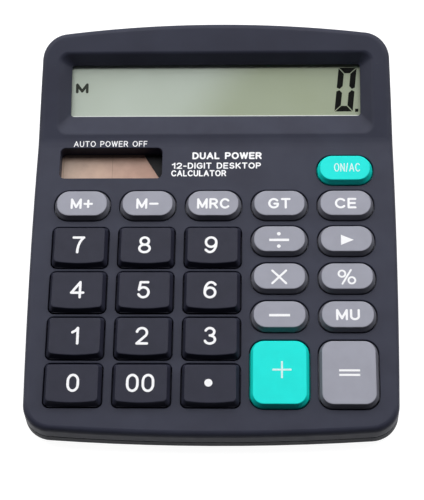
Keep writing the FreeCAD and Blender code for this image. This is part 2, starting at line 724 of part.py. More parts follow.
def make_mat():
    sheet_body = new_body("mat_sheet", DECK)
    plan = new_sketch(sheet_body, "mat_plan", lift="mat_top-mat_thick")
    left, right = "-board_wide/2", "board_wide/2"
    outline(plan, [(left, "board_front+0.5"), (right, "board_front+0.5"), (right, "board_rear-2.6"),
                   ("-12", "board_rear-2.6"), ("-12", "20"), (left, "20")])
    pad(sheet_body, plan, "mat_thick")
    spots = [(x, y) for _, x, y in key_places().values()]
    domes = rods("dome", DECK, spots, "dome_radius", "dome_high+0.2", "mat_top-0.2")
    bores = rods("dome_bore", DECK, spots, "dome_bore", "dome_high+1", "mat_top")
    bores += rods("mat_hole", DECK, POST_SPOTS, "post_radius+0.3", "4", "mat_top-2")
    keep("key_mat", cut("key_mat", fuse("mat_solid", [sheet_body] + domes), bores))


def make_board():
    board = new_body("board_sheet", DECK)
    plan = new_sketch(board, "board_plan", lift="mat_top-mat_thick-board_thick")
    left, right = "-board_wide/2", "board_wide/2"
    front, rear = "board_front", "board_rear"
    outline(plan, [(left, front), (right, front), (right, rear), (left, rear)])
    pad(board, plan, "board_thick-0.02")
    holes = rods("board_hole", DECK, POST_SPOTS, "0.9", "4", "mat_top-mat_thick-3")
    keep("main_board", cut("main_board", board, holes))
    under = "mat_top-mat_thick-board_thick-0.02"
    blob = slab_disc("blob", DECK, "5", "1.3", "8", "18", f"{under}-1.3")
    round_edges(blob, lambda e: e.BoundBox.ZMax < size(f"{under}-1.2"), "1.1")
    keep("chip_blob", blob)
    cans = rods("can", DECK, [("20", "24"), ("27", "24")], "2.5", "6.5", f"{under}-6.5")
    keep("capacitors", group("capacitors", cans))
    crystal = slab("crystal_can", DECK, "3.2", "8", "2.6", x="-4", y="24", z=f"{under}-2.6", radius="1.1")
    keep("crystal", crystal)
    cell = slab("cell", DECK, "solar_wide+2.2", "solar_long+2.2", "cell_thick", x="solar_x", y="solar_y",
                z="-solar_deep-0.04", down=True)
    keep("solar_cell", cell)


def screw(name, place, x, y, tip, head_at, shank_radius, head_radius, head_high):
    """a pan-head screw driven upwards: its head is at head_at and its point at tip"""
    body = new_body(name, place * frame_at(size(x), size(y), 0))
    head = new_sketch(body, name + "_head", lift=head_at)
    disc(head, head_radius)
    pad(body, head, head_high, down=True)
    round_edges(body, lambda e: abs(e.BoundBox.ZMax - size(f"({head_at})-({head_high})")) < 1e-4, "0.35")
    shank = new_sketch(body, name + "_shank", lift=head_at)
    disc(shank, shank_radius)
    pad(body, shank, f"({tip})-({head_at})")
    for i, turn in enumerate((("0.5", "2.6"), ("2.6", "0.5"))):
        slot = new_sketch(body, f"{name}_slot{i}", lift=f"({head_at})-({head_high})")
        half_x, half_y = f"({turn[0]})/2", f"({turn[1]})/2"
        outline(slot, [(f"-{half_x}", f"-{half_y}"), (half_x, f"-{half_y}"), (half_x, half_y),
                       (f"-{half_x}", half_y)])
        pocket = body.newObject("PartDesign::Pocket", f"{name}_cross{i}")
        pocket.Profile = slot
        pocket.Reversed = True
        before = body.Shape.Volume
        bind(pocket, Length="0.6")
        doc.recompute()
        if body.Shape.Volume > before - 1e-4:
            raise RuntimeError(f"{name}: the driver slot cuts nothing")
    return body


def make_screws():
    board_under = "mat_top-mat_thick-board_thick-0.02"
    board_screws = [screw(f"board_screw_{i}", DECK, x, y, "-3.2", board_under, "0.55", "1.3", "0.8")
                    for i, (x, y) in enumerate(POST_SPOTS)]
    keep("board_screws", group("board_screws", board_screws))
    front = [screw(f"front_screw_{i}", CASE, f"{side}*front_boss_x", "front_boss_y", "7.2", "2.6",
                   "screw_radius-0.15", "screw_head", "screw_head_high") for i, side in enumerate((-1, 1))]
    rear = [screw(f"rear_screw_{i}", CASE, f"{side}*rear_boss_x", "rear_boss_y", "27", "12",
                  "screw_radius-0.15", "screw_head", "screw_head_high") for i, side in enumerate((-1, 1))]
    keep("case_screws", group("case_screws", front + rear))


# ---------------------------------------------------------------- battery and its door

def make_door():
    """flat cover that turns down about two stub pins at its rear edge"""
    body = new_body("door")
    side = new_sketch(body, "door_side", "YZ_Plane", lift="-door_wide/2")
    front = "bay_y-door_long/2"
    bottom, top = "floor_high", "floor_high+door_thick"
    outline(side, [(front, bottom), (HINGE_Y, bottom), (HINGE_Y, top), (front, top)],
            {1: "door_thick/2-0.001"})
    pad(body, side, "door_wide")
    pins = new_sketch(body, "door_pins", "YZ_Plane", lift="-door_wide/2-hinge_reach")
    disc(pins, "hinge_radius", HINGE_Y, HINGE_Z)
    pad(body, pins, "door_wide+2*hinge_reach")
    ribs = [block(f"door_rib_{i}", CASE, "16", "0.5", "0.6", "-8", f"bay_y-door_long/2+1.6+{1.3 * i}",
                  "floor_high-0.3") for i in range(4)]
    notches = cut("door_plate", body, ribs)
    keep("battery_door", notches)


def make_battery():
    start, middle_z = "-battery_long/2+3", "bay_top-battery_radius-0.2"
    can = across("battery_can", "battery_radius", "battery_long", start, "bay_y", middle_z)
    nub = across("battery_nub", "nub_radius", "nub_long", f"{start}+battery_long", "bay_y", middle_z)
    keep("battery", fuse("battery", [can, nub]))
    for name, left in (("plus_contact", "bay_wide/2-0.42"), ("minus_contact", "-bay_wide/2+0.02")):
        keep(name, block(name + "_plate", CASE, "0.4", "11", "13", left, "bay_y-5.5", f"{middle_z}-6.5"))
    leaf = new_body("leaf")
    bend = new_sketch(leaf, "leaf_side", "XZ_Plane", lift="-bay_y-leaf_wide/2")
    root, tip = "-bay_wide/2+0.45", "-bay_wide/2+0.45+leaf_reach"
    outline(bend, [(root, f"{middle_z}-leaf_high/2"), (f"{root}+leaf_thick", f"{middle_z}-leaf_high/2"),
                   (tip, middle_z), (f"{root}+leaf_thick", f"{middle_z}+leaf_high/2"),
                   (root, f"{middle_z}+leaf_high/2"), (f"{tip}-leaf_thick", middle_z)])
    pad(leaf, bend, "leaf_wide")
    keep("leaf_spring", leaf)


def lead(name, points):
    """a thin insulated lead: straight runs joined by arcs, swept as one round tube"""
    spots = [V(*p) for p in points]
    edges = []
    here = spots[0]
    for i in range(1, len(spots) - 1):
        a, b, c = spots[i - 1], spots[i], spots[i + 1]
        to_a, to_c = (a - b).normalize(), (c - b).normalize()
        turn = math.pi - to_a.getAngle(to_c)
        run = 0.45 * min((a - b).Length, (c - b).Length)
        radius = run / math.tan(turn / 2)
        start, end = b + to_a * run, b + to_c * run
        inwards = (to_a + to_c).normalize()
        middle = b + inwards * (radius / math.cos(turn / 2) - radius)
        edges += [Part.LineSegment(here, start).toShape(), Part.Arc(start, middle, end).toShape()]
        here = end
        print(f"{name} turn {i}: radius {radius:.1f} mm")
    edges.append(Part.LineSegment(here, spots[-1]).toShape())
    spine = Part.Wire(edges)
    direction = (spots[1] - spots[0]).normalize()
    section = Part.Wire([Part.Circle(spots[0], direction, size("wire_radius")).toShape()])
    tube = doc.addObject("Part::Feature", name)
    tube.Shape = spine.makePipeShell([section], True, False)
    expected = math.pi * size("wire_radius") ** 2 * spine.Length
    if abs(tube.Shape.Volume - expected) > 0.02 * expected:
        raise RuntimeError(f"{name} has the wrong volume")
    return tube


def make_leads():
    """leads from the battery's two contacts to the board"""
    out, rear, high = size("bay_wide/2+bay_wall+0.9"), size("bay_y"), size("bay_top-4")
    board_rear = DECK.multVec(V(0, size("board_rear"), size("mat_top-mat_thick-board_thick-0.9")))
    for name, side in (("red_lead", 1), ("black_lead", -1)):
        points = [(side * out, rear, high), (side * out, rear - 11, high + 0.6),
                  (side * (out - 3), rear - 21, high + 0.9),
                  (side * (out - 8), board_rear.y - 3, board_rear.z - 0.9)]
        keep(name, lead(name, points))


# ---------------------------------------------------------------- build, check and write

def problems():
    found = []
    for thing in doc.Objects:
        if any(word in ("Invalid", "Error") for word in thing.State):
            found.append(f"{thing.Label} is {thing.State}")
    for name, thing in kept.items():
        if thing.Shape.isNull() or not thing.Shape.isValid() or not thing.Shape.Solids:
            found.append(f"{name} has no sound solid")
    return found


make_upper_case()
make_lower_case()
make_feet()
make_keys()
make_display()
make_mat()
make_board()
make_screws()
make_door()
make_battery()
make_leads()
doc.recompute()

faults = problems()
for fault in faults:
    print("FAULT", fault)
if faults:
    raise RuntimeError(f"{len(faults)} faults")

os.makedirs("parts", exist_ok=True)
for name, thing in kept.items():
    thing.Shape.exportStep(f"parts/{name}.step")
    box = thing.Shape.BoundBox
    print(f"{name:18s} solids {len(thing.Shape.Solids)} volume {thing.Shape.Volume:9.1f}"
          f"  x {box.XMin:6.1f} {box.XMax:6.1f}  y {box.YMin:6.1f} {box.YMax:6.1f}"
          f"  z {box.ZMin:5.1f} {box.ZMax:5.1f}")
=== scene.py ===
import math

import bmesh
import bpy
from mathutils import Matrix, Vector
from mathutils.bvhtree import BVHTree
from mathutils.geometry import delaunay_2d_cdt


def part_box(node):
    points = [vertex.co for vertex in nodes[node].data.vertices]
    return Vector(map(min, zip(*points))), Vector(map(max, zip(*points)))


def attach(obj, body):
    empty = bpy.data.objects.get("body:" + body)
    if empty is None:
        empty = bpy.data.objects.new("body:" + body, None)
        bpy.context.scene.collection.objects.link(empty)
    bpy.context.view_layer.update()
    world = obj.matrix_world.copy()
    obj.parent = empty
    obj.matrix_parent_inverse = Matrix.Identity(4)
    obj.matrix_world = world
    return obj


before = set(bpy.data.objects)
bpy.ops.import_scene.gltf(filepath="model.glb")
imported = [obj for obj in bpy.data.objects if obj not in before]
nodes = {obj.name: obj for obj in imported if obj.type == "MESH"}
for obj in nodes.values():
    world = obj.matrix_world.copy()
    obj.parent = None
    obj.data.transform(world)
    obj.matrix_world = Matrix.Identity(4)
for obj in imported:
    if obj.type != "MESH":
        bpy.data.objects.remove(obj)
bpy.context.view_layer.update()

# Desk calculator. The imported parts keep their shapes and get their finishes here, and the printed legends,
# the display's segments and a black plate painting the shadow over the solar cell's end are made here.
# Places are in metres, prints are drawn in millimetres. +Y is the rear, +X the user's right, +Z up.

mm = 0.001
print("frame loaded:", len(nodes), "parts")


def slopeAxes(degrees):
    turn = math.radians(degrees)
    right = Vector((1, 0, 0))
    rise = Vector((0, math.cos(turn), math.sin(turn)))
    return right, rise, right.cross(rise)  # along, up the slope, out of it


deck = slopeAxes(8)  # the keypad's face
display = slopeAxes(20)  # the face round the display


class Finish:
    # a material under construction: makes nodes and links them
    def __init__(self, name):
        self.material = bpy.data.materials.new(name)
        self.material.use_nodes = True
        self.tree = self.material.node_tree
        self.tree.nodes.clear()
        self.output = self.add("ShaderNodeOutputMaterial")
        spots = self.add("ShaderNodeTexCoord")
        self.place, self.facing = spots.outputs["Object"], spots.outputs["Normal"]

    def add(self, kind, **settings):
        node = self.tree.nodes.new(kind)
        for key, value in settings.items():
            setattr(node, key, value)
        return node

    def join(self, source, target):
        self.tree.links.new(source, target)

    def noise(self, spot, detail=3.0, stretch=None):
        # cloudy pattern whose blobs are about spot metres across
        pattern = self.add("ShaderNodeTexNoise")
        pattern.inputs["Scale"].default_value = 1 / spot
        pattern.inputs["Detail"].default_value = detail
        source = self.place
        if stretch is not None:
            mapping = self.add("ShaderNodeMapping")
            mapping.inputs["Scale"].default_value = stretch
            self.join(self.place, mapping.inputs["Vector"])
            source = mapping.outputs["Vector"]
        self.join(source, pattern.inputs["Vector"])
        return pattern.outputs["Fac"]

    def between(self, source, fromLow, fromHigh, toLow, toHigh):
        spread = self.add("ShaderNodeMapRange")
        limits = {"From Min": fromLow, "From Max": fromHigh, "To Min": toLow, "To Max": toHigh}
        for socket, value in limits.items():
            spread.inputs[socket].default_value = value
        self.join(source, spread.inputs["Value"])
        return spread.outputs["Result"]

    def blendColours(self, share, first, second):
        # first where share is 0, second where it is 1; each is a colour or a socket
        mix = self.add("ShaderNodeMix", data_type="RGBA")
        self.join(share, mix.inputs["Factor"])
        for socket, colour in ((mix.inputs[6], first), (mix.inputs[7], second)):
            if isinstance(colour, bpy.types.NodeSocket):
                self.join(colour, socket)
            else:
                socket.default_value = colour
        return mix.outputs[2]

    def reckon(self, operation, first, second=None):
        step = self.add("ShaderNodeMath", operation=operation)
        for socket, value in zip(step.inputs, (first, second)):
            if isinstance(value, bpy.types.NodeSocket):
                self.join(value, socket)
            elif value is not None:
                socket.default_value = value
        return step.outputs[0]

    def edges(self, width):
        # 1 on outer and inner edges, 0 on flat ground
        soft = self.add("ShaderNodeBevel", samples=4)
        soft.inputs["Radius"].default_value = width
        ground = self.add("ShaderNodeNewGeometry")
        turn = self.add("ShaderNodeVectorMath", operation="DOT_PRODUCT")
        self.join(soft.outputs["Normal"], turn.inputs[0])
        self.join(ground.outputs["Normal"], turn.inputs[1])
        return soft.outputs["Normal"], self.between(turn.outputs["Value"], 0.995, 0.8, 0.0, 1.0)

    def bump(self, height, depth, strength=1.0, under=None):
        relief = self.add("ShaderNodeBump")
        relief.inputs["Strength"].default_value = strength
        relief.inputs["Distance"].default_value = depth
        self.join(height, relief.inputs["Height"])
        if under is not None:
            self.join(under, relief.inputs["Normal"])
        return relief.outputs["Normal"]

    def surface(self, **values):
        # the main shader: a plain value goes on its own socket, a socket is linked to it
        shader = self.add("ShaderNodeBsdfPrincipled")
        for words, value in values.items():
            socket = shader.inputs[words.replace("_", " ")]
            if isinstance(value, bpy.types.NodeSocket):
                self.join(value, socket)
            else:
                socket.default_value = value
        self.join(shader.outputs["BSDF"], self.output.inputs["Surface"])
        return shader


def mouldedPlastic(look):
    # moulded plastic: fine grain, faint flow patches, roughness that wanders, paler worn edges, and painted
    # shade on a key's steep walls where a look gives it
    made = Finish(look["name"])
    patches = made.between(made.noise(look["patch"]), 0.35, 0.65, 0.0, 1.0)
    colour = made.blendColours(patches, look["colour"], look["tone"])
    if "wall" in look:  # painted shade: a key's steep walls get a darker colour than its top, standing in for the shade on them
        upright = made.add("ShaderNodeVectorMath", operation="DOT_PRODUCT")
        made.join(made.facing, upright.inputs[0])
        upright.inputs[1].default_value = deck[2]
        topness = made.between(upright.outputs["Value"], 0.4, 0.8, 0.0, 1.0)
        colour = made.blendColours(topness, look["wall"], colour)
    softNormal, edge = made.edges(look["edgeWidth"])
    rubbed = made.between(made.noise(look["patch"] / 6), 0.3, 0.7, 0.0, look["wear"])
    colour = made.blendColours(made.reckon("MULTIPLY", edge, rubbed), colour, look["worn"])
    smoothest, roughest = look["rough"] - look["roughSpread"], look["rough"] + look["roughSpread"]
    rough = made.between(made.noise(look["patch"] / 4, 4.0), 0.3, 0.7, smoothest, roughest)
    normal = made.bump(made.noise(look["grain"], 2.0), look["grainDepth"], 1.0, softNormal)
    made.surface(Base_Color=colour, Roughness=rough, Normal=normal, Specular_IOR_Level=look["shine"])
    return made.material


caseLook = {
    "name": "casePlastic", "colour": (0.037, 0.040, 0.063, 1), "tone": (0.032, 0.034, 0.054, 1),
    "worn": (0.11, 0.115, 0.145, 1), "wear": 0.25, "patch": 14 * mm,
    "grain": 0.22 * mm, "grainDepth": 0.012 * mm, "rough": 0.46, "roughSpread": 0.04, "shine": 0.15,
    "edgeWidth": 0.25 * mm,
}
baseLook = dict(caseLook, name="basePlastic", colour=(0.016, 0.017, 0.028, 1),
                tone=(0.013, 0.014, 0.023, 1), rough=0.52)
numberKeyLook = dict(caseLook, name="numberKeyPlastic", colour=(0.026, 0.027, 0.045, 1),
                     tone=(0.023, 0.024, 0.040, 1), rough=0.42, patch=5 * mm, edgeWidth=0.15 * mm)
# the grey and green keys' wall colours are painted shade for their steep walls
greyKeyLook = dict(caseLook, name="greyKeyPlastic", colour=(0.34, 0.345, 0.405, 1),
                   tone=(0.32, 0.325, 0.38, 1), wall=(0.17, 0.173, 0.205, 1), worn=(0.52, 0.53, 0.58, 1),
                   wear=0.35, rough=0.40, patch=6 * mm, edgeWidth=0.2 * mm)
greenKeyLook = dict(greyKeyLook, name="greenKeyPlastic", colour=(0.004, 0.79, 0.72, 1),
                    tone=(0.004, 0.75, 0.685, 1), wall=(0.004, 0.79, 0.68, 1), worn=(0.20, 0.88, 0.82, 1))
holderLook = dict(caseLook, name="holderPlastic", colour=(0.02, 0.02, 0.022, 1),
                  tone=(0.016, 0.016, 0.018, 1), rough=0.55)
rubberLook = dict(caseLook, name="footRubber", colour=(0.035, 0.036, 0.038, 1),
                  tone=(0.028, 0.028, 0.03, 1), worn=(0.08, 0.08, 0.08, 1), grain=0.12 * mm, rough=0.82,
                  patch=3 * mm)
matLook = dict(rubberLook, name="matRubber", colour=(0.36, 0.37, 0.38, 1), tone=(0.32, 0.33, 0.34, 1),
               rough=0.7)
resinLook = dict(holderLook, name="blackResin", rough=0.3, patch=2 * mm)
sleeveLook = dict(holderLook, name="canSleeve", colour=(0.03, 0.035, 0.08, 1), tone=(0.025, 0.03, 0.07, 1),
                  rough=0.35)
redWireLook = dict(holderLook, name="redWire", colour=(0.55, 0.02, 0.018, 1),
                   tone=(0.48, 0.016, 0.014, 1), rough=0.4)
blackWireLook = dict(holderLook, name="blackWire", rough=0.4)


def metal(look):
    # plated or bare metal: fine rolling lines and stains
    made = Finish(look["name"])
    stains = made.between(made.noise(look["patch"]), 0.3, 0.75, 0.0, 1.0)
    colour = made.blendColours(stains, look["colour"], look["tone"])
    lines = made.noise(look["line"], 3.0, (1, 12, 1))
    smoothest, roughest = look["rough"] - look["roughSpread"], look["rough"] + look["roughSpread"]
    rough = made.between(lines, 0.3, 0.7, smoothest, roughest)
    normal = made.bump(lines, look["lineDepth"])
    made.surface(Base_Color=colour, Roughness=rough, Normal=normal, Metallic=1.0)
    return made.material


steelLook = {
    "name": "screwSteel", "colour": (0.42, 0.42, 0.44, 1), "tone": (0.28, 0.27, 0.27, 1), "patch": 1.2 * mm,
    "line": 0.3 * mm, "lineDepth": 0.01 * mm, "rough": 0.34, "roughSpread": 0.07,
}
canLook = dict(steelLook, name="crystalCan", colour=(0.62, 0.62, 0.63, 1), tone=(0.5, 0.5, 0.5, 1),
               rough=0.25)
contactLook = dict(steelLook, name="contactSteel", colour=(0.62, 0.60, 0.55, 1), tone=(0.46, 0.43, 0.38, 1))


def batteryFinish(look):
    # the cell's printed sleeve: two colours round its length, bare steel at the pole
    made = Finish(look["name"])
    apart = made.add("ShaderNodeSeparateXYZ")
    made.join(made.place, apart.inputs["Vector"])
    clouds = made.between(made.noise(look["patch"]), 0.3, 0.7, 0.0, 0.2)
    sleeve = made.blendColours(clouds, look["sleeve"], look["faded"])
    band = made.reckon("GREATER_THAN", apart.outputs["X"], look["bandFrom"])
    banded = made.blendColours(band, sleeve, look["band"])
    pole = made.reckon("GREATER_THAN", apart.outputs["X"], look["poleFrom"])
    colour = made.blendColours(pole, banded, look["steel"])
    rough = made.between(made.noise(look["patch"] / 3), 0.3, 0.7, 0.22, 0.34)
    normal = made.bump(made.noise(0.4 * mm), 0.004 * mm)
    made.surface(Base_Color=colour, Roughness=rough, Normal=normal, Metallic=pole)
    return made.material


batteryLook = {
    "name": "batterySleeve", "sleeve": (0.03, 0.032, 0.036, 1), "faded": (0.05, 0.052, 0.056, 1),
    "band": (0.62, 0.30, 0.05, 1), "steel": (0.62, 0.62, 0.62, 1), "patch": 4 * mm,
    "bandFrom": 12 * mm, "poleFrom": 27.6 * mm,  # how far right each starts
}


def displayFilmFinish(look):
    # the grey-green front film with a painted reflection: paler and cooler at the left where a lamp is
    # mirrored, olive at the right, parted by a soft slanted border
    made = Finish(look["name"])
    apart = made.add("ShaderNodeSeparateXYZ")
    made.join(made.place, apart.inputs["Vector"])
    leaning = made.reckon("MULTIPLY", apart.outputs["Y"], look["lean"])
    slanted = made.reckon("ADD", apart.outputs["X"], leaning)
    reflectionBorder = made.add("ShaderNodeMapRange", interpolation_type="SMOOTHSTEP")
    for socket, value in zip(("From Min", "From Max"), look["reflectionBorder"]):
        reflectionBorder.inputs[socket].default_value = value
    made.join(slanted, reflectionBorder.inputs["Value"])
    clouds = made.between(made.noise(look["patch"]), 0.3, 0.7, 0.0, 0.35)
    litByReflection = made.blendColours(clouds, look["left"], look["middle"])
    outsideReflection = made.blendColours(clouds, look["right"], look["middle"])
    colour = made.blendColours(reflectionBorder.outputs["Result"], litByReflection, outsideReflection)
    rough = made.between(made.noise(look["patch"] / 5), 0.3, 0.7, 0.28, 0.40)
    normal = made.bump(made.noise(look["grain"], 2.0), look["grainDepth"])
    made.surface(Base_Color=colour, Roughness=rough, Normal=normal, Specular_IOR_Level=0.1)
    return made.material


# the left and right colours and the slanted border paint a lamp's reflection on the film
displayFilmLook = {
    "name": "displayFilm", "left": (0.585, 0.645, 0.58, 1), "middle": (0.47, 0.52, 0.435, 1),
    "right": (0.41, 0.455, 0.33, 1), "lean": -0.75, "reflectionBorder": (-50 * mm, -24 * mm), "patch": 22 * mm,
    "grain": 0.6 * mm, "grainDepth": 0.0015 * mm,
}


def lensFinish(look):
    # clear plastic window: lets everything through but what its surface mirrors
    made = Finish(look["name"])
    clear = made.add("ShaderNodeBsdfTransparent")
    clear.inputs["Color"].default_value = look["tint"]
    gloss = made.add("ShaderNodeBsdfGlossy")
    made.join(made.between(made.noise(look["patch"]), 0.3, 0.7, 0.02, 0.08), gloss.inputs["Roughness"])
    made.join(made.bump(made.noise(look["patch"] * 2), look["wave"]), gloss.inputs["Normal"])
    share = made.add("ShaderNodeFresnel")
    share.inputs["IOR"].default_value = look["bend"]
    facing = made.reckon("SUBTRACT", 1.0, made.add("ShaderNodeNewGeometry").outputs["Backfacing"])
    both = made.add("ShaderNodeMixShader")
    made.join(made.reckon("MULTIPLY", share.outputs["Fac"], facing), both.inputs[0])
    made.join(clear.outputs["BSDF"], both.inputs[1])
    made.join(gloss.outputs["BSDF"], both.inputs[2])
    made.join(both.outputs["Shader"], made.output.inputs["Surface"])
    return made.material


lensLook = {
    "name": "displayLens", "tint": (0.985, 0.99, 0.985, 1), "bend": 1.12, "patch": 9 * mm, "wave": 0.004 * mm,
}


def solarFinish(look):
    # brown cell behind glass, with thin dark lines down its middle and near its ends
    made = Finish(look["name"])
    apart = made.add("ShaderNodeSeparateXYZ")
    made.join(made.place, apart.inputs["Vector"])
    fromMiddle = made.reckon("SUBTRACT", apart.outputs["X"], look["middle"])
    wrapped = made.reckon("PINGPONG", fromMiddle, look["strip"] / 2)
    atMiddle = made.between(wrapped, 0.0, look["line"], 1.0, 0.0)
    clouds = made.between(made.noise(look["patch"]), 0.3, 0.7, 0.0, 1.0)
    along = made.between(fromMiddle, *look["fade"], 0.0, 1.0)
    body = made.blendColours(along, look["left"], look["right"])
    body = made.blendColours(made.reckon("MULTIPLY", clouds, look["cloudy"]), body, look["dark"])
    colour = made.blendColours(made.reckon("MULTIPLY", atMiddle, look["lined"]), body, look["dark"])
    rough = made.between(made.noise(look["patch"] / 3), 0.3, 0.7, 0.16, 0.24)
    normal = made.bump(made.noise(0.5 * mm), 0.003 * mm)
    made.surface(Base_Color=colour, Roughness=rough, Normal=normal, Specular_IOR_Level=look["shine"])
    return made.material


solarLow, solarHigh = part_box("solar_cell")
solarLook = {
    "name": "solarGlass", "left": (0.60, 0.44, 0.345, 1), "right": (0.54, 0.325, 0.25, 1), "shine": 0.2,
    "dark": (0.10, 0.065, 0.055, 1), "cloudy": 0.25, "lined": 0.55, "middle": (solarLow.x + solarHigh.x) / 2,
    "strip": 16.4 * mm, "line": 0.12 * mm, "fade": (-14 * mm, 12 * mm), "patch": 5 * mm,
}


def boardFinish(look):
    # green solder mask with copper tracks under it
    made = Finish(look["name"])
    bricks = made.add("ShaderNodeTexBrick", offset=0.37)
    bricks.inputs["Scale"].default_value = 1 / look["track"]
    bricks.inputs["Mortar Size"].default_value = 0.06
    bricks.inputs["Color1"].default_value = look["colour"]
    bricks.inputs["Color2"].default_value = look["tone"]
    bricks.inputs["Mortar"].default_value = look["copper"]
    made.join(made.place, bricks.inputs["Vector"])
    weave = made.noise(look["weave"], 2.0)
    rough = made.between(weave, 0.3, 0.7, 0.3, 0.42)
    made.surface(Base_Color=bricks.outputs["Color"], Roughness=rough, Normal=made.bump(weave, 0.02 * mm))
    return made.material


boardLook = {
    "name": "boardLaminate", "colour": (0.02, 0.12, 0.05, 1), "tone": (0.018, 0.10, 0.045, 1),
    "copper": (0.07, 0.20, 0.07, 1), "track": 2.4 * mm, "weave": 0.35 * mm,
}


def glassFinish(look):
    # display glass, thin films and inks: faint clouds and a fine ripple
    made = Finish(look["name"])
    clouds = made.between(made.noise(look["patch"]), 0.3, 0.7, 0.0, 1.0)
    colour = made.blendColours(clouds, look["colour"], look["tone"])
    rough = made.between(made.noise(look["patch"] / 4), 0.3, 0.7, look["rough"], look["rough"] + 0.08)
    normal = made.bump(made.noise(look["grain"]), 0.002 * mm)
    made.surface(Base_Color=colour, Roughness=rough, Normal=normal, Metallic=look["metal"],
                 Specular_IOR_Level=look["shine"])
    return made.material


displayGlassLook = {
    "name": "displayGlass", "colour": (0.30, 0.34, 0.31, 1), "tone": (0.26, 0.30, 0.27, 1), "patch": 8 * mm,
    "grain": 0.7 * mm, "rough": 0.06, "metal": 0.0, "shine": 0.5,
}
reflectorLook = dict(displayGlassLook, name="reflectorFilm", colour=(0.68, 0.70, 0.68, 1),
                     tone=(0.6, 0.62, 0.6, 1), rough=0.3, metal=1.0)
ribbonLook = dict(displayGlassLook, name="ribbonFilm", colour=(0.50, 0.34, 0.10, 1),
                  tone=(0.42, 0.28, 0.08, 1), rough=0.25)
inkLook = dict(displayGlassLook, name="whiteInk", colour=(0.95, 0.95, 0.97, 1), tone=(0.90, 0.90, 0.92, 1),
               patch=0.8 * mm, rough=0.45, shine=0.2)
paleInkLook = dict(inkLook, name="paleInk", colour=(0.70, 0.90, 0.88, 1), tone=(0.62, 0.84, 0.82, 1))
segmentLook = dict(displayGlassLook, name="displaySegment", colour=(0.006, 0.006, 0.006, 1),
                   tone=(0.010, 0.011, 0.009, 1), patch=1.5 * mm, rough=0.4, shine=0.05)
markLook = dict(segmentLook, name="displayMark", colour=(0.045, 0.05, 0.042, 1),
                tone=(0.055, 0.06, 0.05, 1))
# a pale finish that paints the highlight on the window's front edge
lensHighlightLook = dict(displayGlassLook, name="lensLip", colour=(0.88, 0.92, 0.88, 1), tone=(0.80, 0.84, 0.80, 1),
               rough=0.3)

finishOfSlot = {
    "case_plastic": mouldedPlastic(caseLook), "base_plastic": mouldedPlastic(baseLook),
    "dark_key_plastic": mouldedPlastic(numberKeyLook), "grey_key_plastic": mouldedPlastic(greyKeyLook),
    "green_key_plastic": mouldedPlastic(greenKeyLook), "foot_rubber": mouldedPlastic(rubberLook),
    "clear_lens": lensFinish(lensLook), "polariser_film": displayFilmFinish(displayFilmLook),
    "lcd_glass": glassFinish(displayGlassLook), "reflector_film": glassFinish(reflectorLook),
    "black_plastic": mouldedPlastic(holderLook), "ribbon_film": glassFinish(ribbonLook),
    "mat_rubber": mouldedPlastic(matLook), "board_laminate": boardFinish(boardLook),
    "black_resin": mouldedPlastic(resinLook), "can_sleeve": mouldedPlastic(sleeveLook),
    "steel_can": metal(canLook), "solar_glass": solarFinish(solarLook), "screw_steel": metal(steelLook),
    "battery_sleeve": batteryFinish(batteryLook), "contact_steel": metal(contactLook),
    "red_wire": mouldedPlastic(redWireLook), "black_wire": mouldedPlastic(blackWireLook),
}
whiteInk = glassFinish(inkLook)
paleInk = glassFinish(paleInkLook)
segmentInk = glassFinish(segmentLook)
markInk = glassFinish(markLook)
lensHighlightFinish = glassFinish(lensHighlightLook)
# plastic for the plate that paints the shadow on the solar cell
paintedShadowPlastic = mouldedPlastic(dict(holderLook, name="paintedShadowPlastic", rough=0.6))
print("finishes made")


def dressParts():
    # each CAD part's own material gives way to the finish of the same slot
    for part in nodes.values():
        for place in part.material_slots:
            place.material = finishOfSlot[place.material.name.split(".")[0]]


dressParts()
print("parts dressed")

